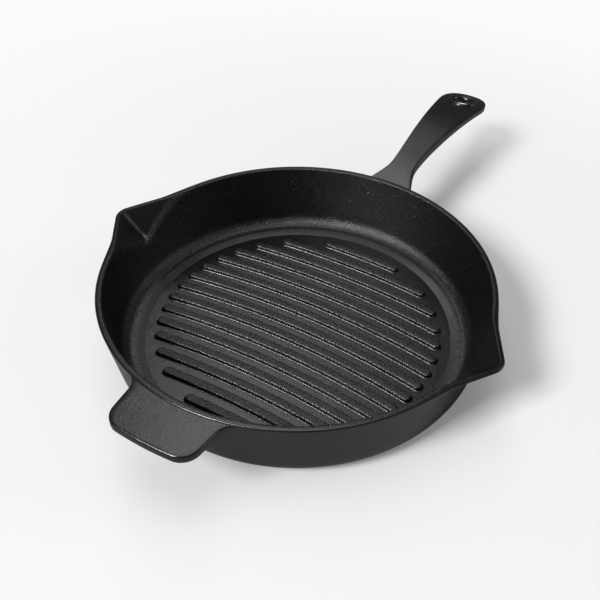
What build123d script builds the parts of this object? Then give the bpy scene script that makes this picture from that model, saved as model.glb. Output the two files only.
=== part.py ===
from build123d import *
import math
import os

# Round grill pan of black cast iron, 28 cm across the rim, cast in one piece.
# The origin is the centre of the flat underside and +Z is up.
# The long handle points along +X, the helper handle along -X, the spouts along +Y and -Y.
# The casting is divided where its natural features meet, and the solids touch face to face.

# Pan body
rim_radius = 140.0            # outer radius of the rim, at its top
pan_height = 56.0             # from the underside to the top of the rim
wall_at_rim = 4.6             # thickness of the iron at the rim
rim_band = 4.0                # height of the rim band
rim_round = 1.0               # radius that softens both edges of the rim's top
outer_draft = 10.5            # degrees that the outside of the wall leans out
inner_draft = 9.0             # degrees that the inside of the wall leans out
outer_corner = 18.0           # radius of the round bottom corner, outside
inner_corner = 9.0            # radius of the round corner above the floor, inside

# Floor
floor_thickness = 4.8         # iron under the grooves
ledge_width = 1.0             # narrow flat ledge at the foot of the wall's round corner
border_width = 6.4            # sloped ring between the ledge and the grooved floor
border_rise = 1.6             # height that the sloped ring climbs

# Grill ribs
rib_count = 15                # spread evenly along the pan, with one across its centre
rib_top_width = 5.6           # flat top of a rib
rib_foot_width = 7.2          # width at the floor
rib_height = 2.8
rib_bend = 624.0              # radius that each rib is bent to, seen from above
rib_round = 0.8               # radius that softens the edges of a rib's top
rib_gap = 7.0                 # from the rib ends to the sloped ring
rib_room = 7.5                # the outermost ribs stay this far inside the reach of the rib ends

# Pour spouts
spout_stand_out = 20.6        # from the rim circle out to where the two flanks would meet
spout_flank_angle = 32.0      # degrees between each flank and the rim's crosswise line
spout_tip_round = 14.0        # radius of the spout's nose, outside
spout_iron = 4.6              # thickness of the flanks, seen from above
spout_depth = 27.0            # from the rim's top down to where the flanks would meet
spout_valley_run = 28.0       # how far the valley runs back over that depth
spout_turn = 3.2              # degrees that each spout is turned towards the helper handle

# Long handle
handle_length = 174.6         # from the rim circle to the handle's end
handle_iron = 6.0             # thickness of the flat bar
handle_arch = 376.0           # radius of its arched top
handle_rise = 8.0             # height of the arch above the rim
crown_from_rim = 95.0         # the arch is highest this far from the rim circle
flare_width = 46.0            # width where the handle meets the pan
neck_from_rim = 27.0          # the narrowest place
neck_width = 22.4
palm_width = 42.6             # width at the widest place
palm_to_end = 28.6            # from the widest place to the handle's end
palm_spread = 5.0             # degrees that each side spreads on its way to the palm
handle_round = 1.4            # radius that softens the handle's long edges

# Hanging hole and the raised ring round it
hole_radius = 8.5
hole_to_end = 22.6            # from the hole's centre to the handle's end
ring_width = 4.5              # from the hole to the ring's outer edge
ring_height = 1.5
ring_bevel = 1.2              # the ring's two top edges are bevelled by this much

# Helper handle
helper_length = 30.6          # from the rim circle to the helper handle's edge
helper_width = 66.0
helper_taper = 2.4            # each side draws in by this much towards the edge
helper_iron = 6.0
helper_drop = 1.0             # its top lies this far below the rim
helper_corner = 13.0          # radius of its two corners
helper_bow = 2.0              # the edge bows out by this much
helper_flare = 10.0           # radius that joins each side to the pan
helper_round = 1.4            # radius that softens the plate's edges

overrun = 1.0                 # how far cutting forms run past what they cut

# Shares that shape the long handle's curves
neck_hold_share = 0.17        # of neck to palm, where the side stays level
palm_pull_share = 0.67        # of neck to palm, where the side is drawn to its spread
end_square_share = 0.62       # of palm to end, how square the end is along the handle
end_side_share = 0.72         # of the palm's half width, how square it is across

right_angle = 90.0
standing = (Align.CENTER, Align.CENTER, Align.MIN)
hanging = (Align.CENTER, Align.CENTER, Align.MAX)


def wall_line(z, top_radius, draft):
    """Radius of a drafted wall at height z."""
    return top_radius - (pan_height - z) * math.tan(math.radians(draft))


def corner_centre(z_low, radius, top_radius, draft):
    """Centre of the round corner that touches the level z_low and the drafted wall."""
    z = z_low + radius
    return wall_line(z, top_radius, draft) - radius / math.cos(math.radians(draft)), z


inner_top = rim_radius - wall_at_rim
ledge_z = floor_thickness + border_rise
band_z = pan_height - rim_band
outer_centre = corner_centre(0, outer_corner, rim_radius, outer_draft)
inner_centre = corner_centre(ledge_z, inner_corner, inner_top, inner_draft)
wall_start = inner_centre[0]  # the ledge ends and the wall's round corner starts here
border_end = wall_start - ledge_width
floor_radius = border_end - border_width
rib_reach = floor_radius - rib_gap
rib_pitch = 2 * (rib_reach - rib_room) / (rib_count - 1)
handle_end = rim_radius + handle_length


def cup(z_low, z_top, centre, corner, top_radius, draft):
    """Solid round cup from z_low to z_top with a round bottom corner and a drafted side."""
    def on_corner(lean):
        turn = math.radians(lean)
        return centre[0] + corner * math.cos(turn), centre[1] - corner * math.sin(turn)

    foot = on_corner(right_angle)
    shoulder = on_corner(draft)
    top = (wall_line(z_top, top_radius, draft), z_top)
    section = make_face([
        Line((0, z_low), foot),
        ThreePointArc(foot, on_corner((right_angle + draft) / 2), shoulder),
        Line(shoulder, top),
        Line(top, (0, z_top)),
        Line((0, z_top), (0, z_low)),
    ])
    return revolve(Plane.XZ * section, Axis.Z)


def outer_form(z_top):
    """The pan's outer shape as a solid block, up to z_top."""
    return cup(0, z_top, outer_centre, outer_corner, rim_radius, outer_draft)


def inner_form():
    """The space inside the wall above the ledge, open at the top."""
    return cup(ledge_z, pan_height + overrun, inner_centre, inner_corner, inner_top, inner_draft)


def below(z_top):
    """Block that holds everything of the pan below z_top."""
    side = 4 * rim_radius
    return Pos(0, 0, z_top) * Box(side, side, 2 * pan_height, align=hanging)


def spout_outline(reach, nose, half_width, share, y_apex, z):
    """Rounded V of a spout at height z, drawn full size where share is 1 and shrunk to the apex."""
    flank = math.radians(spout_flank_angle)
    y_wide = reach - half_width * math.tan(flank)
    y_nose = reach - nose / math.cos(flank)
    x_touch = nose * math.sin(flank)
    y_touch = y_nose + nose * math.cos(flank)

    def at(x, y):
        return Vector(x * share, y_apex + (y - y_apex) * share, z)

    return Wire([
        Line(at(-half_width, y_wide), at(-x_touch, y_touch)).edge(),
        ThreePointArc(at(-x_touch, y_touch), at(0, y_nose + nose), at(x_touch, y_touch)).edge(),
        Line(at(x_touch, y_touch), at(half_width, y_wide)).edge(),
        Line(at(half_width, y_wide), at(-half_width, y_wide)).edge(),
    ])


def spout_forms(inset, extra):
    """Pointed forms of the left and right spout, smaller by inset and taller by extra."""
    flank = math.radians(spout_flank_angle)
    whole_reach = rim_radius + spout_stand_out
    reach = whole_reach - inset / math.cos(flank)
    nose = spout_tip_round - inset
    y_apex = reach - spout_valley_run - (spout_tip_round / math.cos(flank) - spout_tip_round)
    half_width = whole_reach * math.cos(flank) * math.sin(flank)
    z_apex = pan_height - spout_depth
    wires = [
        spout_outline(reach, nose, half_width, rise / spout_depth, y_apex, z_apex + rise)
        for rise in (overrun, spout_depth + extra)
    ]
    left = Rot(0, 0, spout_turn) * Solid.make_loft(wires, ruled=True)
    return left, mirror(left, about=Plane.XZ)


def spouts_outside():
    """Outer forms of both spouts."""
    return spout_forms(0, 0)


def spouts_inside():
    """Hollows of both spouts, which run out through the rim's top."""
    return spout_forms(spout_iron, overrun)


def pan_floor():
    """Flat round floor, plain underneath."""
    return Cylinder(floor_radius, floor_thickness, align=standing) & outer_form(band_z)


def floor_border():
    """Sloped ring that climbs from the grooved floor to the narrow ledge."""
    border = Cylinder(wall_start, ledge_z, align=standing)
    border -= Cylinder(floor_radius, floor_thickness, align=standing)
    border -= Pos(0, 0, floor_thickness) * Cone(floor_radius, border_end, border_rise, align=standing)
    return border & outer_form(band_z)


def side_wall():
    """Drafted wall with its round bottom corner, open where the spouts are."""
    wall = outer_form(band_z) - Cylinder(wall_start, ledge_z, align=standing) - inner_form()
    for hollow in spouts_inside():
        wall -= hollow
    return wall


def rim():
    """Band along the top of the wall that runs out over both spouts without a break."""
    band = outer_form(pan_height)
    for form in spouts_outside():
        band += form
    band -= below(band_z)
    band -= inner_form()
    for hollow in spouts_inside():
        band -= hollow
    return fillet(band.edges().filter_by_position(Axis.Z, pan_height, pan_height), rim_round)


def pour_spouts():
    """The two spouts below the rim band, thin shells that stand out from the wall."""
    return [
        (form & below(band_z)) - outer_form(pan_height) - hollow
        for form, hollow in zip(spouts_outside(), spouts_inside())
    ]


def arch_centre():
    """Centre of the long handle's arch, in X and Z."""
    return rim_radius + crown_from_rim, pan_height + handle_rise - handle_arch


def under_arch(radius):
    """Round bar across the pan, about the arch's centre."""
    x, z = arch_centre()
    return Pos(x, 0, z) * Rot(right_angle, 0, 0) * Cylinder(radius, 2 * (flare_width + palm_width))


def handle_half_plan():
    """Half of the long handle's outline, seen from above."""
    neck = neck_width / 2
    palm = palm_width / 2
    flare = flare_width / 2
    neck_x = rim_radius + neck_from_rim
    palm_x = handle_end - palm_to_end
    to_palm = palm_x - neck_x
    spread = math.tan(math.radians(palm_spread))
    root = (rim_radius - neck_from_rim, flare + neck_from_rim / 4)
    hold = (neck_x + to_palm * neck_hold_share, neck)
    pull = (palm_x - to_palm * palm_pull_share, palm - to_palm * palm_pull_share * spread)
    square = (palm_x + palm_to_end * end_square_share, palm + palm_to_end * end_square_share * spread)
    end_side = (handle_end, palm * end_side_share)
    return make_face([
        Bezier(root, (rim_radius, flare), (neck_x - neck_from_rim / 2, neck), (neck_x, neck)),
        Bezier((neck_x, neck), hold, pull, (palm_x, palm)),
        Bezier((palm_x, palm), square, end_side, (handle_end, 0)),
        Line((handle_end, 0), (root[0], 0)),
        Line((root[0], 0), root),
    ])


def plane_at_hole():
    """Plane on the handle's top at the hanging hole, square to the arch."""
    x, z = arch_centre()
    hole_x = handle_end - hole_to_end
    turn = math.asin((hole_x - x) / handle_arch)
    top = (hole_x, 0, z + handle_arch * math.cos(turn))
    along = (math.cos(turn), 0, -math.sin(turn))
    outward = (math.sin(turn), 0, math.cos(turn))
    return Plane(origin=top, x_dir=along, z_dir=outward)


def long_handle():
    """Flat arched bar that narrows to a neck and widens to a rounded end with a hole."""
    column = extrude(handle_half_plan(), pan_height + handle_rise + overrun)
    half = (column & under_arch(handle_arch)) - under_arch(handle_arch - handle_iron)
    half = fillet(half.edges().filter_by(GeomType.BSPLINE), handle_round)
    bar = half + mirror(half, about=Plane.XZ)
    bar -= plane_at_hole() * Cylinder(hole_radius, 4 * handle_iron)
    return bar - outer_form(pan_height)


def hanging_ring():
    """Low raised ring with bevelled edges that strengthens the hanging hole."""
    outside = hole_radius + ring_width
    section = Polyline(
        (hole_radius, -ring_height), (outside, -ring_height), (outside, ring_height - ring_bevel),
        (outside - ring_bevel, ring_height), (hole_radius + ring_bevel, ring_height),
        (hole_radius, ring_height - ring_bevel), (hole_radius, -ring_height),
    )
    ring = revolve(Plane.XZ * make_face(section), Axis.Z)
    return plane_at_hole() * ring - under_arch(handle_arch)


def helper_plan():
    """Outline of the helper handle seen from above, flared where it meets the pan."""
    half = helper_width / 2
    edge_half = half - helper_taper
    edge_x = -(rim_radius + helper_length - helper_bow)
    flare_y = half + helper_flare
    flare_x = -math.sqrt((rim_radius + helper_flare) ** 2 - flare_y ** 2)

    def on_flare(turn, side):
        angle = math.radians(turn)
        x = flare_x + helper_flare * math.sin(angle)
        return x, side * (flare_y - helper_flare * math.cos(angle))

    start = right_angle * 2 / 3
    near = on_flare(start, 1)
    far = on_flare(start, -1)
    plan = make_face([
        Line((-floor_radius, far[1]), (-floor_radius, near[1])),
        Line((-floor_radius, near[1]), near),
        ThreePointArc(near, on_flare(start / 2, 1), (flare_x, half)),
        Line((flare_x, half), (edge_x, edge_half)),
        ThreePointArc((edge_x, edge_half), (edge_x - helper_bow, 0), (edge_x, -edge_half)),
        Line((edge_x, -edge_half), (flare_x, -half)),
        ThreePointArc((flare_x, -half), on_flare(start / 2, -1), far),
        Line(far, (-floor_radius, far[1])),
    ])
    corners = [v for v in plan.vertices() if abs(v.X - edge_x) < helper_bow / 2]
    return fillet(corners, helper_corner)


def helper_handle():
    """Short flat handle opposite the long one, bare on top."""
    foot = pan_height - helper_drop - helper_iron
    plate = Pos(0, 0, foot) * extrude(helper_plan(), helper_iron)
    plate = fillet(plate.faces().filter_by(Axis.Z).edges(), helper_round)
    return plate - outer_form(pan_height)


def rib_plan(place, width, reach):
    """Rounded slot bent to an arc, seen from above, that crosses the long axis at place."""
    centre_x = place - rib_bend
    half = width / 2
    end = reach - half
    turn = math.acos((end ** 2 - centre_x ** 2 - rib_bend ** 2) / (2 * centre_x * rib_bend))
    cap = turn + half / rib_bend

    def at(radius, angle):
        return centre_x + radius * math.cos(angle), radius * math.sin(angle)

    outer = rib_bend + half
    inner = rib_bend - half
    return make_face([
        ThreePointArc(at(outer, -turn), at(outer, 0), at(outer, turn)),
        ThreePointArc(at(outer, turn), at(rib_bend, cap), at(inner, turn)),
        ThreePointArc(at(inner, turn), at(inner, 0), at(inner, -turn)),
        ThreePointArc(at(inner, -turn), at(rib_bend, -cap), at(outer, -turn)),
    ])


def rib(number):
    """One grill rib, wider at its foot than at its flat top. Rib 1 is nearest the long handle."""
    place = rib_pitch * ((rib_count + 1) / 2 - number)
    slope = (rib_foot_width - rib_top_width) / 2
    foot = Pos(0, 0, floor_thickness) * rib_plan(place, rib_foot_width, rib_reach)
    top = Pos(0, 0, floor_thickness + rib_height) * rib_plan(place, rib_top_width, rib_reach - slope)
    bar = loft([foot, top], ruled=True)
    return fillet(bar.faces().sort_by(Axis.Z)[-1].edges(), rib_round)


def save(shape, name):
    """Write one sub-part to its own file."""
    export_step(shape, "parts/" + name + ".step")


os.makedirs("parts", exist_ok=True)
save(pan_floor(), "pan_floor")
save(floor_border(), "floor_border")
save(side_wall(), "side_wall")
save(rim(), "rim")
left_spout, right_spout = pour_spouts()
save(left_spout, "pour_spout_left")
save(right_spout, "pour_spout_right")
save(long_handle(), "long_handle")
save(hanging_ring(), "hanging_ring")
save(helper_handle(), "helper_handle")
for number in range(1, rib_count + 1):
    save(rib(number), f"rib_{number:02d}")
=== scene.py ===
import bmesh
import bpy
import math
from mathutils import Matrix, Vector


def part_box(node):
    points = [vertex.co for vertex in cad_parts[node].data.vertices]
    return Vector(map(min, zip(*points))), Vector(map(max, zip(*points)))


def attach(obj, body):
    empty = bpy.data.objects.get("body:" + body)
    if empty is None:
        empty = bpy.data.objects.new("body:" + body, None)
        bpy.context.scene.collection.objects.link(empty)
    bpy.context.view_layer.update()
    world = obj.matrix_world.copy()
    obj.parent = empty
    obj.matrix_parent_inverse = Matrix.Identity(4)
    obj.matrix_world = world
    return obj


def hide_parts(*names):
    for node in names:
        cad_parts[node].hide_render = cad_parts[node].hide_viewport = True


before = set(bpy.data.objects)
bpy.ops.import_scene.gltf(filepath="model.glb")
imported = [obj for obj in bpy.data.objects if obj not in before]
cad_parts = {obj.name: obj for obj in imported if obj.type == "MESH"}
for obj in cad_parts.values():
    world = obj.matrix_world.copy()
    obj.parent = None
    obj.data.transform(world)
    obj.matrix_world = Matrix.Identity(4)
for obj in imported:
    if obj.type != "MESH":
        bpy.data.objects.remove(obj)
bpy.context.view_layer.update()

# Cast iron
# The whole pan is one sand casting of grey iron, seasoned to a satin black.
# The sand leaves a fine pebbled grain, coarser up the inner wall, with low waves under it.

MM = 0.001
sand_size = 1.4 * MM
grit_size = 0.6 * MM
wave_size = 14 * MM
patch_size = 45 * MM
dark_iron = (0.0028, 0.0028, 0.0029, 1)
worn_iron = (0.0048, 0.0047, 0.0046, 1)
grain_shade = 0.35                    # how far the grain darkens the iron
grain_darkest = 0.4
iron_ior = 1.7
dull_least = 0.19                     # roughness where the seasoning is smoothest
dull_worn = 0.23
dull_grain = 0.06                     # added by the grain
dull_wall = 0.05                      # added on the inner wall
skin_lean = 0.17                      # between the lean of the wall's inside and its outside
skin_inner = 126.5 * MM               # the cooking side ends between these two, taken down to the floor
skin_outer = 128.5 * MM
wall_grain_low = 5.8 * MM             # the coarse grain begins between these two heights
wall_grain_high = 8.5 * MM

iron = bpy.data.materials.new("seasoned_iron")
iron.use_nodes = True
nodes = iron.node_tree.nodes
links = iron.node_tree.links
nodes.clear()
surface = nodes.new("ShaderNodeBsdfPrincipled")
output = nodes.new("ShaderNodeOutputMaterial")
place = nodes.new("ShaderNodeTexCoord")
surface.inputs["IOR"].default_value = iron_ior
links.new(surface.outputs["BSDF"], output.inputs["Surface"])


def iron_noise(size, detail, roughness):
    """Noise in the iron, with blotches about size across."""
    noise = nodes.new("ShaderNodeTexNoise")
    noise.inputs["Scale"].default_value = 1 / size
    noise.inputs["Detail"].default_value = detail
    noise.inputs["Roughness"].default_value = roughness
    links.new(place.outputs["Object"], noise.inputs["Vector"])
    return noise.outputs["Fac"]


def iron_range(value, low, high, from_low=0.3, from_high=0.7):
    """Spread a value from low to high, where it runs from from_low to from_high."""
    spread = nodes.new("ShaderNodeMapRange")
    spread.inputs["From Min"].default_value = from_low
    spread.inputs["From Max"].default_value = from_high
    spread.inputs["To Min"].default_value = low
    spread.inputs["To Max"].default_value = high
    links.new(value, spread.inputs["Value"])
    return spread.outputs["Result"]


def iron_more(value, factor, start):
    """A value times a factor, added to a start value."""
    sum_up = nodes.new("ShaderNodeMath")
    sum_up.operation = "MULTIPLY_ADD"
    sum_up.inputs[1].default_value = factor
    links.new(value, sum_up.inputs[0])
    links.new(start, sum_up.inputs[2])
    return sum_up.outputs["Value"]


sand = iron_noise(sand_size, 3.0, 0.6)
grit = iron_noise(grit_size, 2.0, 0.6)
waves = iron_noise(wave_size, 2.0, 0.5)
patches = iron_noise(patch_size, 3.0, 0.55)

tone = nodes.new("ShaderNodeMix")
tone.data_type = "RGBA"
tone.inputs["A"].default_value = dark_iron
tone.inputs["B"].default_value = worn_iron
links.new(iron_range(patches, 0, 1), tone.inputs["Factor"])
speck = nodes.new("ShaderNodeMix")
speck.data_type = "RGBA"
speck.blend_type = "MULTIPLY"
speck.inputs["Factor"].default_value = grain_shade
links.new(tone.outputs["Result"], speck.inputs["A"])
links.new(iron_range(sand, grain_darkest, 1), speck.inputs["B"])
links.new(speck.outputs["Result"], surface.inputs["Base Color"])

# 1 on the cooking side and 0 outside it, by the distance from the axis less the wall's lean
flat_place = nodes.new("ShaderNodeVectorMath")
flat_place.operation = "MULTIPLY"
flat_place.inputs[1].default_value = (1, 1, 0)
links.new(place.outputs["Object"], flat_place.inputs[0])
from_axis = nodes.new("ShaderNodeVectorMath")
from_axis.operation = "LENGTH"
links.new(flat_place.outputs["Vector"], from_axis.inputs[0])
place_parts = nodes.new("ShaderNodeSeparateXYZ")
links.new(place.outputs["Object"], place_parts.inputs["Vector"])
height = place_parts.outputs["Z"]
cooking_side = iron_range(
    iron_more(height, -skin_lean, from_axis.outputs["Value"]), 1, 0, skin_inner, skin_outer
)
# 1 on the inner wall alone
wall_part = nodes.new("ShaderNodeMath")
wall_part.operation = "MULTIPLY"
links.new(cooking_side, wall_part.inputs[0])
links.new(iron_range(height, 0, 1, wall_grain_low, wall_grain_high), wall_part.inputs[1])
wall_side = wall_part.outputs["Value"]

dull = nodes.new("ShaderNodeMath")
dull.operation = "ADD"
links.new(iron_range(patches, dull_least, dull_worn), dull.inputs[0])
links.new(iron_range(sand, 0, dull_grain), dull.inputs[1])
links.new(iron_more(wall_side, dull_wall, dull.outputs["Value"]), surface.inputs["Roughness"])

# each layer of relief, with its depth outside the pan, on its floor and on its inner wall
relief_layers = (
    (waves, 0.2 * MM, 0.2 * MM, 0.4 * MM),
    (sand, 0.09 * MM, 0.14 * MM, 0.7 * MM),
    (grit, 0.04 * MM, 0.05 * MM, 0.12 * MM),
)
relief = None
for layer, outer_depth, floor_depth, wall_depth in relief_layers:
    bump = nodes.new("ShaderNodeBump")
    smooth_part = iron_range(cooking_side, outer_depth, floor_depth, 0, 1)
    links.new(iron_more(wall_side, wall_depth - floor_depth, smooth_part), bump.inputs["Distance"])
    links.new(layer, bump.inputs["Height"])
    if relief:
        links.new(relief, bump.inputs["Normal"])
    relief = bump.outputs["Normal"]
links.new(relief, surface.inputs["Normal"])

# Floor
# The flat round floor of the casting is plain underneath and carries the ribs on top.
# It ends in a sharp step line where the sloped ring round it begins.

floor_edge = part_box("pan_floor")[1]
floor_top = floor_edge.z
floor_radius = floor_edge.x
floor_turns = 180
floor_rings = 12
weld_gap = 0.001 * MM


def cast_piece(name, points, faces, *cad_nodes, crease=40):
    """A piece of the casting as a mesh, smooth up to a crease, that stands for its CAD nodes."""
    skin = bmesh.new()
    corners = [skin.verts.new(p) for p in points]
    for face in faces:
        skin.faces.new([corners[i] for i in face]).smooth = True
    bmesh.ops.remove_doubles(skin, verts=skin.verts, dist=weld_gap)
    bmesh.ops.dissolve_degenerate(skin, edges=skin.edges, dist=weld_gap / 10)
    bmesh.ops.recalc_face_normals(skin, faces=skin.faces)
    for edge in skin.edges:
        edge.smooth = len(edge.link_faces) == 2 and edge.calc_face_angle() < math.radians(crease)
    mesh = bpy.data.meshes.new(name)
    skin.to_mesh(mesh)
    skin.free()
    piece = bpy.data.objects.new(name, mesh)
    bpy.context.collection.objects.link(piece)
    mesh.materials.append(iron)
    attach(piece, "root")
    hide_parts(*cad_nodes)


def grid_faces(rows, columns, first=0, wrap_rows=False, wrap_columns=False):
    """Four-sided faces over a grid of points that are listed row by row from number first."""
    faces = []
    for i in range(rows if wrap_rows else rows - 1):
        for j in range(columns if wrap_columns else columns - 1):
            a = first + i * columns + j
            b = first + i * columns + (j + 1) % columns
            c = first + (i + 1) % rows * columns + (j + 1) % columns
            d = first + (i + 1) % rows * columns + j
            faces.append((a, b, c, d))
    return faces


def round_point(r, angle, z):
    """Point at a distance from the pan's axis, an angle from the long handle and a height."""
    return Vector((r * math.cos(angle), r * math.sin(angle), z))


floor_points = []
for z in (floor_top, 0):
    floor_points.append(Vector((0, 0, z)))
    for ring in range(1, floor_rings + 1):
        for step in range(floor_turns):
            angle = 2 * math.pi * step / floor_turns
            floor_points.append(round_point(floor_radius * ring / floor_rings, angle, z))
side_count = len(floor_points) // 2
floor_faces = []
for start in (0, side_count):
    floor_faces += [(start, start + 1 + i, start + 1 + (i + 1) % floor_turns) for i in range(floor_turns)]
    floor_faces += grid_faces(floor_rings, floor_turns, start + 1, wrap_columns=True)
top_edge = 1 + (floor_rings - 1) * floor_turns
low_edge = top_edge + side_count
for i in range(floor_turns):
    j = (i + 1) % floor_turns
    floor_faces.append((top_edge + i, top_edge + j, low_edge + j, low_edge + i))
cast_piece("pan_floor_cast", floor_points, floor_faces, "pan_floor")

# Wall, rim and spouts
# The wall leans out from the ledge round the floor to the rim, in one skin of iron.
# Both spouts are pressed out of it as pointed pockets, and the mould rounds every edge.

rim_radius = 140 * MM
pan_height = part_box("rim")[1].z
wall_iron = 4.6 * MM
rim_round = 1.1 * MM
outer_lean = 10.5                     # degrees
inner_lean = 9
outer_draft = math.tan(math.radians(outer_lean))
inner_draft = math.tan(math.radians(inner_lean))
outer_corner = 18 * MM
inner_corner = 9 * MM
ledge_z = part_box("floor_border")[1].z
border_width = 6.4 * MM
border_slope = (ledge_z - floor_top) / border_width
border_first = 2 * MM                 # first point of the slope, from the floor's edge
border_last = 1.2 * MM                # from here to the ledge the slope's top is rounded

spout_turn = 93.2                     # degrees from the long handle to each spout
spout_reach = rim_radius + 20.6 * MM
spout_iron = 4.6 * MM
spout_nose = 14 * MM
spout_nose_least = 5 * MM
spout_depth = 27 * MM
valley_run = 28 * MM
flank = math.radians(32)
root_share = 0.02                     # the spout starts this share of its depth over its root
inner_blend = 2.6 * MM                # the blends between spout and wall widen with the depth
inner_blend_share = 0.25
inner_blend_most = 4.5 * MM
outer_blend = 3.8 * MM
outer_blend_share = 0.75
outer_blend_most = 10 * MM


def corner_centre(z, corner, top, draft):
    """Radius and height of the centre of a round corner between a level and a leaning wall."""
    return top - (pan_height - z) * draft - corner / math.cos(math.atan(draft)), z


outer_centre = corner_centre(outer_corner, outer_corner, rim_radius, outer_draft)
inner_centre = corner_centre(ledge_z + inner_corner, inner_corner, rim_radius - wall_iron, inner_draft)


def smooth_max(a, b, width):
    """The larger of two radii, with the step between them rounded over width."""
    gap = max(width - abs(a - b), 0)
    return max(a, b) + gap * gap / (4 * width)


def spout_radius(angle, z, inset):
    """How far a spout's rounded V reaches at height z in one direction, or nothing beside it."""
    share = (z - pan_height + spout_depth) / spout_depth
    if share <= root_share:
        return 0
    reach = spout_reach - inset / math.cos(flank)
    nose = max((spout_nose - inset) * share, spout_nose_least)
    apex = reach - valley_run - (spout_nose / math.cos(flank) - spout_nose)
    tip = apex + (reach - apex) * share
    best = 0
    for turn in (spout_turn, -spout_turn):
        off = math.remainder(angle - math.radians(turn), 2 * math.pi)
        if abs(off) > flank:
            continue
        centre = tip - nose / math.cos(flank)
        under_root = nose ** 2 - (centre * math.sin(off)) ** 2
        radius = tip / (math.cos(off) + abs(math.sin(off)) * math.tan(flank))
        if under_root > 0:
            on_nose = centre * math.cos(off) + math.sqrt(under_root)
            if abs(on_nose * math.sin(off)) < nose * math.sin(flank):
                radius = on_nose
        best = max(best, radius)
    return best


def inner_radius(angle, z):
    """Radius of the inside of the wall, spouts included."""
    depth = pan_height - z
    wall = rim_radius - wall_iron - depth * inner_draft
    blend = min(inner_blend + inner_blend_share * depth, inner_blend_most)
    return smooth_max(wall, spout_radius(angle, z, spout_iron), blend)


def outer_radius(angle, z):
    """Radius of the outside of the wall, spouts included."""
    depth = pan_height - z
    wall = rim_radius - depth * outer_draft
    blend = min(outer_blend + outer_blend_share * depth, outer_blend_most)
    return smooth_max(wall, spout_radius(angle, z, 0), blend)


def blend_points(start, corner, end, steps):
    """Points of a round edge from start to end that is drawn towards corner."""
    points = []
    for i in range(steps + 1):
        t = i / steps
        points.append(tuple(
            s * (1 - t) ** 2 + 2 * c * t * (1 - t) + e * t * t
            for s, c, e in zip(start, corner, end)
        ))
    return points


def rim_edge(angle, radius_at, inward):
    """Round edge between the rim's flat top and a side of the wall, from the top down."""
    top = radius_at(angle, pan_height)
    slope = (top - radius_at(angle, pan_height - 1 * MM)) / MM
    down = Vector((-slope, -1)).normalized()
    along = Vector((-inward, 0))
    corner = Vector((top, pan_height))
    opening = math.acos(max(min(down.dot(along), 1), -1))
    centre = corner + (down + along).normalized() * rim_round / math.sin(opening / 2)
    first = corner + along * rim_round / math.tan(opening / 2) - centre
    last = corner + down * rim_round / math.tan(opening / 2) - centre
    swing = first.angle_signed(last)
    steps = 6
    points = []
    for i in range(steps + 1):
        spoke = first.copy()
        spoke.rotate(Matrix.Rotation(-swing * i / steps, 2))
        points.append(tuple(centre + spoke))
    return points


# heights in mm at which the wall has a line of points, close together where the spouts are
inner_levels = [16, 19, 22, 25, 27] + list(range(28, 55))
outer_levels = inner_levels[2:]
level_gap = 0.1 * MM
corner_steps = 10
ledge_steps = 4


def wall_section(angle):
    """Closed section of ring, ledge, wall and rim in one direction, as radius and height."""
    border_end = floor_radius + border_width
    section = [(floor_radius, floor_top)]
    section.append((floor_radius + border_first, floor_top + border_first * border_slope))
    slope_end = (border_end - border_last, ledge_z - border_last * border_slope)
    section += blend_points(slope_end, (border_end, ledge_z), (inner_centre[0], ledge_z), ledge_steps)
    for i in range(1, corner_steps):
        lean = math.radians(90 - (90 - inner_lean) * i / (corner_steps - 1))
        x = inner_centre[0] + inner_corner * math.cos(lean)
        section.append((x, inner_centre[1] - inner_corner * math.sin(lean)))
    section += [(inner_radius(angle, level * MM), level * MM) for level in inner_levels]
    section += reversed(rim_edge(angle, inner_radius, -1))
    outer_edge = rim_edge(angle, outer_radius, 1)
    section += outer_edge
    for level in reversed(outer_levels):
        z = min(level * MM, outer_edge[-1][1] - (outer_levels[-1] - level) * level_gap)
        section.append((outer_radius(angle, z), z))
    for i in range(corner_steps + 1):
        lean = math.radians(outer_lean + (90 - outer_lean) * i / corner_steps)
        x = outer_centre[0] + outer_corner * math.cos(lean)
        section.append((x, outer_centre[1] - outer_corner * math.sin(lean)))
    section.append((floor_radius, 0))
    return section


# one section each degree, and more of them over the spouts
spout_span = 24
spout_step = 0.4
wall_turns = []
turn = 0
while turn < 360:
    wall_turns.append(turn)
    from_spout = min(abs(turn - spout_turn), abs(turn - (360 - spout_turn)))
    turn += spout_step if from_spout < spout_span else 1
wall_points = []
for turn in wall_turns:
    angle = math.radians(turn)
    wall_points += [round_point(r, angle, z) for r, z in wall_section(angle)]
section_count = len(wall_points) // len(wall_turns)
cast_piece(
    "pan_wall_cast", wall_points,
    grid_faces(len(wall_turns), section_count, wrap_rows=True, wrap_columns=True),
    "floor_border", "side_wall", "rim", "pour_spout_left", "pour_spout_right",
)

# Grill ribs
# Fifteen low ribs stand on the floor, each bent to the same long arc and rounded at its ends.
# Their tops are the cooking face, and a small root radius joins each to the floor.

rib_count = 15
rib_bend = 624 * MM
middle_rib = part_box("rib_08")[1]
rib_height = middle_rib.z - floor_top
rib_reach = middle_rib.y
rib_room = 7.5 * MM                   # the outermost ribs stay this far inside the reach of the ends
rib_pitch = 2 * (rib_reach - rib_room) / (rib_count - 1)
rib_width = 7.2 * MM
rib_root = 1.0 * MM                   # radius at the foot
rib_root_reach = 80                   # degrees that the foot turns up before the side goes on
rib_lean_in = 0.35 * MM               # the side draws in by this much up to the top's round
rib_top_round = 1.3 * MM
rib_top_drop = 1.05 * MM
rib_sink = 0.04 * MM                  # the foot's edge is let into the floor
rib_skirt = 0.1 * MM
rib_steps = 48
cap_steps = 10


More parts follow.
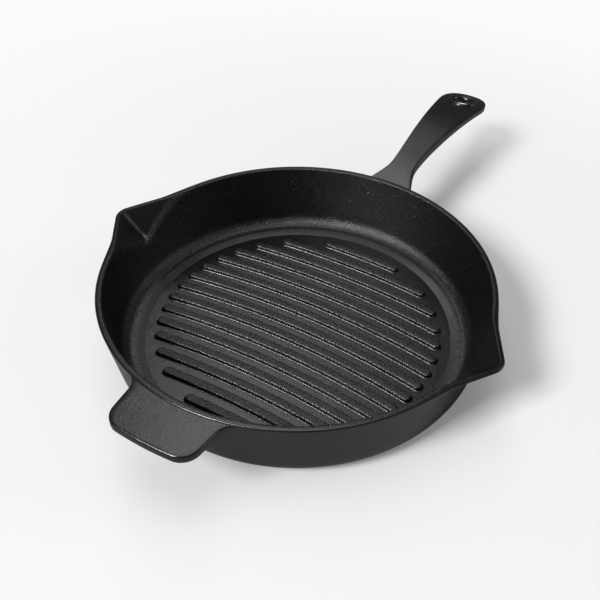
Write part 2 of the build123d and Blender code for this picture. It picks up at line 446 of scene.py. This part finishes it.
def rib_outline(rib_x, offset):
    """Points round the bent rib at rib_x on the long axis, drawn offset outside its foot."""
    centre_x = rib_x - rib_bend
    half = rib_width / 2
    end = rib_reach - half
    turn = math.acos((end ** 2 - centre_x ** 2 - rib_bend ** 2) / (2 * centre_x * rib_bend))
    half += offset
    points = []
    for side in (1, -1):
        for i in range(rib_steps + 1):
            angle = side * turn * (2 * i / rib_steps - 1)
            r = rib_bend + side * half
            points.append((centre_x + r * math.cos(angle), r * math.sin(angle)))
        tip = side * turn
        tip_x = centre_x + rib_bend * math.cos(tip)
        tip_y = rib_bend * math.sin(tip)
        for i in range(1, cap_steps):
            lean = tip + math.pi * i / cap_steps + (0 if side > 0 else math.pi)
            points.append((tip_x + half * math.cos(lean), tip_y + half * math.sin(lean)))
    return points


rib_profile = [(rib_root + rib_skirt, -rib_sink)]
for i in range(7):
    lean = math.radians(rib_root_reach * i / 6)
    rib_profile.append((rib_root - rib_root * math.sin(lean), rib_root - rib_root * math.cos(lean)))
for i in range(9):
    lean = math.radians(90 * i / 8)
    inset = rib_lean_in + rib_top_round * (1 - math.cos(lean))
    rib_profile.append((-inset, rib_height - rib_top_drop * (1 - math.sin(lean))))
around = 2 * (rib_steps + cap_steps)
for number in range(1, rib_count + 1):
    rib_x = rib_pitch * ((rib_count + 1) / 2 - number)
    points = []
    for offset, rise in rib_profile:
        points += [Vector((x, y, floor_top + rise)) for x, y in rib_outline(rib_x, offset)]
    faces = grid_faces(len(rib_profile), around, wrap_columns=True)
    last = (len(rib_profile) - 1) * around
    other = last + rib_steps + cap_steps
    for i in range(rib_steps):
        faces.append((last + i, last + i + 1, other + rib_steps - i - 1, other + rib_steps - i))
    faces.append([last + rib_steps + i for i in range(cap_steps + 1)])
    faces.append([last] + [other + rib_steps + i for i in range(cap_steps)])
    cast_piece(f"rib_{number:02d}_cast", points, faces, f"rib_{number:02d}", crease=60)

# Long handle
# A flat bar of the same casting leaves the wall in a flare, arches up and widens to a palm.
# Its edges are softened, and a round hole near its end lets the pan hang from a hook.

handle_iron = 6 * MM
arch_radius = 376 * MM
crown_x = rim_radius + 95 * MM
crown_z = pan_height + 7.98 * MM
handle_end = rim_radius + 174.6 * MM
hole_x = handle_end - 22.6 * MM
hole_radius = 8.5 * MM
ring_height = 1.5 * MM
bore_round = 3.3 * MM                 # the hole flares by this much at both ends
edge_round = 1.5 * MM
edge_steps = 5
wall_fillet = 3 * MM
flare = 46 * MM / 2
neck_run = 27 * MM
neck_x = rim_radius + neck_run
neck = 22.4 * MM / 2
palm_x = handle_end - 28.6 * MM
palm = 42.6 * MM / 2
palm_spread = math.tan(math.radians(5))
to_palm = palm_x - neck_x
to_end = handle_end - palm_x
hold = to_palm * 0.17                 # the side stays level this far past the neck
pull = to_palm * 0.67                 # the side is drawn to the palm's spread over this length
square = to_end * 0.62                # how square the end is along the handle
end_side = palm * 0.72                # how square it is across
handle_curves = [
    ((rim_radius - neck_run, flare + neck_run / 4), (rim_radius, flare),
     (neck_x - neck_run / 2, neck), (neck_x, neck)),
    ((neck_x, neck), (neck_x + hold, neck),
     (palm_x - pull, palm - pull * palm_spread), (palm_x, palm)),
    ((palm_x, palm), (palm_x + square, palm + square * palm_spread),
     (handle_end, end_side), (handle_end, 0)),
]
curve_steps = 60


def curve_point(curve, t):
    """Point of a Bezier curve with four control points."""
    shares = ((1 - t) ** 3, 3 * t * (1 - t) ** 2, 3 * t * t * (1 - t), t ** 3)
    return tuple(sum(s * p[k] for s, p in zip(shares, curve)) for k in range(2))


handle_side = [curve_point(curve, i / curve_steps) for curve in handle_curves for i in range(curve_steps)]
handle_side.append((handle_end, 0))


def bend_handle(x, y, h):
    """Point over plan place x and y that lies h above the arched top, square to it."""
    turn = math.asin((x - crown_x) / arch_radius)
    r = arch_radius + h
    return Vector((crown_x + r * math.sin(turn), y, crown_z - arch_radius + r * math.cos(turn)))


def wall_x(y, z):
    """Place of the pan's outside wall behind the handle."""
    r = rim_radius - (pan_height - z) * outer_draft
    return math.sqrt(max(r * r - y * y, 0))


def bore_flare(h):
    """Radius of the hole at height h over the handle's top, narrowest halfway through the iron."""
    half = (handle_iron + ring_height) / 2
    off = (h - ring_height + half) / half
    return hole_radius + bore_round * (1 - math.sqrt(max(1 - off * off, 0)))


def side_width(x):
    """Half width of the handle at x."""
    for (x0, y0), (x1, y1) in zip(handle_side, handle_side[1:]):
        if x0 <= x <= x1:
            return y0 + (y1 - y0) * (x - x0) / max(x1 - x0, 1e-9)
    return 0


def side_slope(x):
    """How fast the half width grows along the handle at x."""
    return (side_width(x + 0.5 * MM) - side_width(x - 0.5 * MM)) / MM


def edge_section(rounding, iron):
    """Section of a bar's edge with both corners rounded, as inset and height over the top."""
    section = [(rounding, 0)]
    for i in range(1, edge_steps + 1):
        lean = math.radians(90 * i / edge_steps)
        section.append((rounding * (1 - math.sin(lean)), -rounding * (1 - math.cos(lean))))
    section.append((0, -iron / 2))
    return section + [(d, -iron - h) for d, h in reversed(section[:-1])]


def spread_height(h, lift):
    """Height h over the handle's top, moved away from the middle of the iron by lift."""
    middle = -handle_iron / 2
    return h if h == middle else h + math.copysign(lift, h - middle)


# the bar, section by section from inside the wall to the palm, with a fillet round its root
root_z = 49 * MM                      # middle height of the root
wall_zero = wall_x(0, root_z)
wall_reach = 26 * MM                  # over this length the sections lose the wall's round form
wall_fade = 1.5                       # and by this power, quickly at first
palm_start = hole_x - 26 * MM
across = 12
far_steps = 22
# places of the first sections along the handle, in mm from the wall
near_steps = [-2.4, -1.2, 0, 0.12, 0.35, 0.7, 1.2, 1.8, 2.5, 3.3, 5, 7, 9, 11, 13, 15, 18, 21, 24, 28]
bar_steps = [step * MM for step in near_steps]
far_start = bar_steps[-1]
far_run = palm_start - wall_zero - far_start
bar_steps += [far_start + far_run * i / far_steps for i in range(1, far_steps + 1)]
handle_edge = edge_section(edge_round, handle_iron)
handle_points = []
for step in bar_steps:
    out = max(step, 0)
    hollow = max(wall_fillet - out, 0)
    lift = wall_fillet - math.sqrt(wall_fillet ** 2 - hollow ** 2)
    fade = max(0, 1 - out / wall_reach)
    x = wall_zero + step
    width = side_width(x) + lift
    slope = side_slope(x) * (1 - fade)
    row = []
    for side in (1, -1):
        band = [(side * (width - d), spread_height(h, lift), d) for d, h in handle_edge]
        row += band if side > 0 else reversed(band)
        h = -handle_iron - lift if side > 0 else lift
        inset = width - edge_round
        row += [(side * inset * (1 - 2 * i / across), h, edge_round) for i in range(1, across)]
    for y, h, d in row:
        p = bend_handle(x + slope * d, y, h)
        p.x += (wall_x(y, p.z) - wall_zero - (p.x - x)) * fade ** wall_fade
        handle_points.append(p)
handle_faces = grid_faces(len(bar_steps), len(handle_points) // len(bar_steps), wrap_columns=True)

# the palm's outline with its directions, and then its edge, faces and hole
palm_side = [(palm_start, side_width(palm_start))]
palm_side += [p for p in handle_side if p[0] > palm_start + 1 * MM and p[1] > 0.01 * MM]
normals = []
for i, p in enumerate(palm_side):
    before = palm_side[max(i - 1, 0)]
    after = palm_side[min(i + 1, len(palm_side) - 1)]
    dx, dy = after[0] - before[0], after[1] - before[1]
    if i == 0:
        dx, dy = 1, side_slope(palm_start)
    length = math.hypot(dx, dy)
    normals.append((-dy / length, dx / length))
half_outline = list(zip(palm_side, normals))
outline = half_outline + [((handle_end, 0), (1, 0))]
outline += [((x, -y), (nx, -ny)) for (x, y), (nx, ny) in reversed(half_outline)]
first = len(handle_points)
for (x, y), (nx, ny) in outline:
    for d, h in handle_edge:
        handle_points.append(bend_handle(x - nx * d, y - ny * d, h))
handle_faces += grid_faces(len(outline), len(handle_edge), first)
loop = [(x - nx * edge_round, y - ny * edge_round) for (x, y), (nx, ny) in outline]
x0, y0 = loop[0]
loop += [(x0, -y0 * (1 - 2 * i / across)) for i in range(1, across)]
palm_rings = 9
for h in (0, -handle_iron):
    first = len(handle_points)
    for ring in range(palm_rings + 1):
        share = ring / palm_rings
        for x, y in loop:
            angle = math.atan2(y, x - hole_x)
            bore_x = hole_x + bore_flare(h) * math.cos(angle)
            bore_y = bore_flare(h) * math.sin(angle)
            handle_points.append(bend_handle(x + (bore_x - x) * share, y + (bore_y - y) * share, h))
    handle_faces += grid_faces(palm_rings + 1, len(loop), first, wrap_columns=True)
first = len(handle_points)
bore_steps = 8
for step in range(bore_steps + 1):
    h = -handle_iron * step / bore_steps
    r = bore_flare(h)
    for x, y in loop:
        angle = math.atan2(y, x - hole_x)
        handle_points.append(bend_handle(hole_x + r * math.cos(angle), r * math.sin(angle), h))
handle_faces += grid_faces(bore_steps + 1, len(loop), first, wrap_columns=True)
cast_piece("long_handle_cast", handle_points, handle_faces, "long_handle")

# Hanging ring
# A low raised ring is cast round the hole and keeps its edge from chipping on the hook.
# Both its edges are rounded, and a small hollow joins it to the handle.

ring_outside = hole_radius + 4.5 * MM
ring_hollow = 0.6 * MM                # radius of the hollow at its foot
ring_hollow_reach = 72                # degrees that the hollow turns up
ring_round = 1.1 * MM
ring_round_start = 15                 # degrees at which the rounded edge takes over
ring_skirt = 0.8 * MM
ring_sink = 0.05 * MM
ring_lap = 0.02 * MM                  # the ring's bore stands this little inside the handle's
ring_lap_depth = 0.1 * MM
ring_turns = 72
ring_profile = [(ring_outside + ring_skirt, -ring_sink)]
for i in range(1, 5):
    lean = math.radians(ring_hollow_reach * i / 4)
    rise = ring_hollow * (1 - math.cos(lean))
    ring_profile.append((ring_outside + ring_hollow * (1 - math.sin(lean)), rise))
for i in range(7):
    lean = math.radians(ring_round_start + (90 - ring_round_start) * i / 6)
    rise = ring_height - ring_round * (1 - math.sin(lean))
    ring_profile.append((ring_outside - ring_round * (1 - math.cos(lean)), rise))
for i in range(9):
    rise = ring_height - ring_lap - (ring_height + ring_lap_depth) * (i / 8) ** 2
    ring_profile.append((bore_flare(rise) - ring_lap, rise))
ring_points = []
for i in range(ring_turns):
    angle = 2 * math.pi * i / ring_turns
    for r, h in ring_profile:
        ring_points.append(bend_handle(hole_x + r * math.cos(angle), r * math.sin(angle), h))
ring_faces = grid_faces(ring_turns, len(ring_profile), wrap_rows=True)
cast_piece("hanging_ring_cast", ring_points, ring_faces, "hanging_ring")

# Helper handle
# A short flat plate opposite the long handle takes the second hand when the pan is full.
# It is cast with the wall, its corners are rounded, and it flares where it meets the wall.

helper_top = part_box("helper_handle")[1].z
helper_iron = 6 * MM
helper_half = 33 * MM
helper_taper = 2.4 * MM
helper_edge = rim_radius + 30.6 * MM
helper_bow = 2 * MM
helper_corner = 13 * MM
helper_flare = 10 * MM
helper_round = 1.4 * MM
helper_in_wall = 2.4 * MM             # the plate's sides run this far into the wall
helper_back = 2.6 * MM                # and its back edge this far
helper_across = 16

flare_y = helper_half + helper_flare
flare_x = math.sqrt((rim_radius + helper_flare) ** 2 - flare_y ** 2)
taper = math.atan(helper_taper / (helper_edge - helper_bow - flare_x))
bow_half = helper_half - helper_taper
bow_radius = (bow_half ** 2 + helper_bow ** 2) / (2 * helper_bow)
bow_centre = helper_edge - bow_radius
# the corner's centre lies helper_corner inside the tapered side and inside the bowed edge
side_foot = Vector((flare_x - bow_centre, helper_half - helper_corner / math.cos(taper)))
side_way = Vector((math.cos(taper), -math.sin(taper)))
along = side_foot.dot(side_way)
corner_run = math.sqrt((bow_radius - helper_corner) ** 2 - side_foot.length_squared + along ** 2) - along
corner_spot = side_foot + side_way * corner_run
bow_turn = math.atan2(corner_spot.y, corner_spot.x)
corner_x = bow_centre + corner_spot.x
corner_y = corner_spot.y


def arc_place(centre_x, centre_y, radius, lean, follow=0):
    """Outline point on an arc, its direction out of the iron, and how far it follows the wall."""
    nx, ny = math.cos(lean), math.sin(lean)
    return centre_x + radius * nx, centre_y + radius * ny, nx, ny, follow


helper_side = []
root_lean = math.atan2(flare_y, flare_x)
for inward in (helper_in_wall, helper_in_wall / 2):
    helper_side.append(arc_place(0, 0, rim_radius - inward, root_lean, 1))
flare_steps = 12
for i in range(flare_steps + 1):
    share = 1 - i / flare_steps
    lean = math.pi / 2 - (math.pi / 2 - root_lean) * share
    helper_side.append(arc_place(flare_x, flare_y, -helper_flare, lean, share ** 2))
side_lean = math.pi / 2 - taper
side_end = corner_x + helper_corner * math.sin(taper)
side_steps = 8
for i in range(1, side_steps):
    x = flare_x + (side_end - flare_x) * i / side_steps
    helper_side.append(arc_place(x, helper_half - (x - flare_x) * math.tan(taper), 0, side_lean))
turn_steps = 16
for i in range(turn_steps + 1):
    lean = side_lean + (bow_turn - side_lean) * i / turn_steps
    helper_side.append(arc_place(corner_x, corner_y, helper_corner, lean))
tip = []
for i in range(1, helper_across):
    tip.append(arc_place(bow_centre, 0, bow_radius, bow_turn * (1 - 2 * i / helper_across)))
helper_outline = helper_side + tip
helper_outline += [(x, -y, nx, -ny, follow) for x, y, nx, ny, follow in reversed(helper_side)]
helper_profile = edge_section(helper_round, helper_iron)


def helper_point(x, y, h, follow):
    """Point of the plate at height h over its top, drawn in by follow to meet the leaning wall."""
    z = helper_top + h
    draw = 1 - follow * (pan_height - z) * outer_draft / math.hypot(x, y)
    return Vector((-x * draw, y * draw, z))


helper_points = []
for x, y, nx, ny, follow in helper_outline:
    for d, h in helper_profile:
        helper_points.append(helper_point(x - nx * d, y - ny * d, h, follow))
helper_faces = grid_faces(len(helper_outline), len(helper_profile))
for h in (0, -helper_iron):
    first = len(helper_points)
    for x, y, nx, ny, follow in helper_side:
        band_x = x - nx * helper_round
        band_y = y - ny * helper_round
        for i in range(helper_across + 1):
            row_y = band_y * (1 - 2 * i / helper_across)
            back_x = math.sqrt((rim_radius - helper_back) ** 2 - row_y ** 2)
            row_x = band_x if i in (0, helper_across) else max(band_x, back_x)
            helper_points.append(helper_point(row_x, row_y, h, follow))
    row = len(helper_points) - helper_across
    for i, (x, y, nx, ny, follow) in enumerate(tip):
        helper_points[row + i] = helper_point(x - nx * helper_round, y - ny * helper_round, h, follow)
    helper_faces += grid_faces(len(helper_side), helper_across + 1, first)
cast_piece("helper_handle_cast", helper_points, helper_faces, "helper_handle")

# Studio
# The pan stands on a seamless sheet of pale paper, with a painted glow on it that grows away from the pan
# and lightens the shadows on it. The main soft lamp is at its front left, weaker ones are above, behind
# and to the right, and the air glows faintly.
# The camera stands at the photograph's place.

paper_half = 6.0
paper_drop = 0.1 * MM                 # the paper gives this much under the pan
paper_near = 0.16                     # the painted glow on the paper grows between these two distances
paper_far = 0.7
glow_near_pan = 0.15                     # share of painted glow that the paper has close to the pan, which lightens the shadows there
paper_white = (0.95, 0.95, 0.95, 1)
paper_glow = (0.97, 0.97, 0.97, 1)    # the painted glow on the paper, and the white of the air behind it
paper_back = (0.32, 0.32, 0.32, 1)    # the paper as the iron reflects it and as it lights the pan: a darker grey than it is seen, which darkens its reflection in the iron
air_strength = 0.075

floor_mesh = bpy.data.meshes.new("studio_floor")
floor_corners = [(x * paper_half, y * paper_half, 0) for x, y in ((-1, -1), (1, -1), (1, 1), (-1, 1))]
floor_mesh.from_pydata(floor_corners, [], [(0, 1, 2, 3)])
studio_floor = bpy.data.objects.new("studio_floor", floor_mesh)
studio_floor.location.z = -paper_drop
bpy.context.collection.objects.link(studio_floor)
paper = bpy.data.materials.new("studio_paper")
paper.use_nodes = True
sheet = paper.node_tree
sheet.nodes.clear()
white = sheet.nodes.new("ShaderNodeBsdfDiffuse")
white.inputs["Color"].default_value = paper_white
# painted glow on the paper, stronger away from the pan, which lightens the shadows on it
painted_glow = sheet.nodes.new("ShaderNodeEmission")
painted_glow.inputs["Color"].default_value = paper_glow
seen_sheet = sheet.nodes.new("ShaderNodeMixShader")
sheet_place = sheet.nodes.new("ShaderNodeTexCoord")
how_far = sheet.nodes.new("ShaderNodeVectorMath")
how_far.operation = "LENGTH"
sheet.links.new(sheet_place.outputs["Object"], how_far.inputs[0])
# how much painted glow the paper shows, from a small share near the pan to all of it far off
glow_share = sheet.nodes.new("ShaderNodeMapRange")
glow_share.interpolation_type = "SMOOTHSTEP"
glow_share.inputs["From Min"].default_value = paper_near
glow_share.inputs["From Max"].default_value = paper_far
glow_share.inputs["To Min"].default_value = glow_near_pan
glow_share.inputs["To Max"].default_value = 1
sheet.links.new(how_far.outputs["Value"], glow_share.inputs["Value"])
sheet.links.new(glow_share.outputs["Result"], seen_sheet.inputs["Fac"])
grey = sheet.nodes.new("ShaderNodeBsdfDiffuse")
grey.inputs["Color"].default_value = paper_back
sheet_ray = sheet.nodes.new("ShaderNodeLightPath")
sheet_pick = sheet.nodes.new("ShaderNodeMixShader")
sheet_end = sheet.nodes.new("ShaderNodeOutputMaterial")
sheet.links.new(white.outputs["BSDF"], seen_sheet.inputs[1])
sheet.links.new(painted_glow.outputs["Emission"], seen_sheet.inputs[2])
sheet.links.new(sheet_ray.outputs["Is Camera Ray"], sheet_pick.inputs["Fac"])
sheet.links.new(grey.outputs["BSDF"], sheet_pick.inputs[1])
sheet.links.new(seen_sheet.outputs["Shader"], sheet_pick.inputs[2])
sheet.links.new(sheet_pick.outputs["Shader"], sheet_end.inputs["Surface"])
floor_mesh.materials.append(paper)

world = bpy.data.worlds.new("studio_air")
bpy.context.scene.world = world
world.use_nodes = True
air = world.node_tree
glow = air.nodes["Background"]
glow.inputs["Color"].default_value = (1, 1, 1, 1)
glow.inputs["Strength"].default_value = air_strength
seen_air = air.nodes.new("ShaderNodeBackground")
seen_air.inputs["Color"].default_value = paper_glow
seen_air.inputs["Strength"].default_value = 1
air_pick = air.nodes.new("ShaderNodeMixShader")
air_ray = air.nodes.new("ShaderNodeLightPath")
air.links.new(air_ray.outputs["Is Camera Ray"], air_pick.inputs["Fac"])
air.links.new(glow.outputs["Background"], air_pick.inputs[1])
air.links.new(seen_air.outputs["Background"], air_pick.inputs[2])
air.links.new(air_pick.outputs["Shader"], air.nodes["World Output"].inputs["Surface"])

lamp_far = 4.8


def soft_lamp(name, turn, rise, size, power):
    """A square lamp aimed at the pan from a turn round it and a rise over the paper, in degrees."""
    turn = math.radians(turn)
    rise = math.radians(rise)
    toward = Vector((math.cos(rise) * math.cos(turn), math.cos(rise) * math.sin(turn), math.sin(rise)))
    light = bpy.data.lights.new(name, "AREA")
    light.shape = "SQUARE"
    light.size = size
    light.energy = power
    lamp = bpy.data.objects.new(name, light)
    bpy.context.collection.objects.link(lamp)
    lamp.location = toward * lamp_far
    lamp.rotation_euler = (-toward).to_track_quat("-Z", "Y").to_euler()


soft_lamp("lamp_front_left", 160, 42, 1.4, 205)
soft_lamp("lamp_top", 60, 84, 3.2, 48)
soft_lamp("lamp_back", 41, 53, 1.2, 11)
soft_lamp("lamp_low_back", 28, 38, 1.2, 3.4)
soft_lamp("lamp_right", -55, 25, 2.4, 30)

view_turn = math.radians(27.41)       # the camera looks this way round the pan, and down by tilt
view_tilt = math.radians(40.11)
view_roll = 0.05
view_distance = 672.963 * MM
view_aim = Vector((77.486 * MM, 4.215 * MM, 0))
picture_px = 600
focal_px = 827.596
centre_px = (345.0, 273.0)            # where the lens axis meets the photograph
ahead = Vector((math.cos(view_turn), math.sin(view_turn), 0))
look = ahead * math.cos(view_tilt) - Vector((0, 0, math.sin(view_tilt)))
level = Vector((math.sin(view_turn), -math.cos(view_turn), 0))
upward = level.cross(look)
right = level * math.cos(view_roll) + upward * math.sin(view_roll)
up = upward * math.cos(view_roll) - level * math.sin(view_roll)
shot = bpy.data.cameras.new("camera")
shot.sensor_width = 36
shot.lens = shot.sensor_width * focal_px / picture_px
shot.shift_x = (picture_px / 2 - centre_px[0]) / picture_px
shot.shift_y = (centre_px[1] - picture_px / 2) / picture_px
shot.clip_start = 0.01
camera = bpy.data.objects.new("camera", shot)
bpy.context.collection.objects.link(camera)
turned = Matrix((right, up, -look)).transposed().to_4x4()
camera.matrix_world = Matrix.Translation(view_aim - look * view_distance) @ turned
bpy.context.scene.camera = camera
bpy.context.scene.view_settings.view_transform = "Standard"
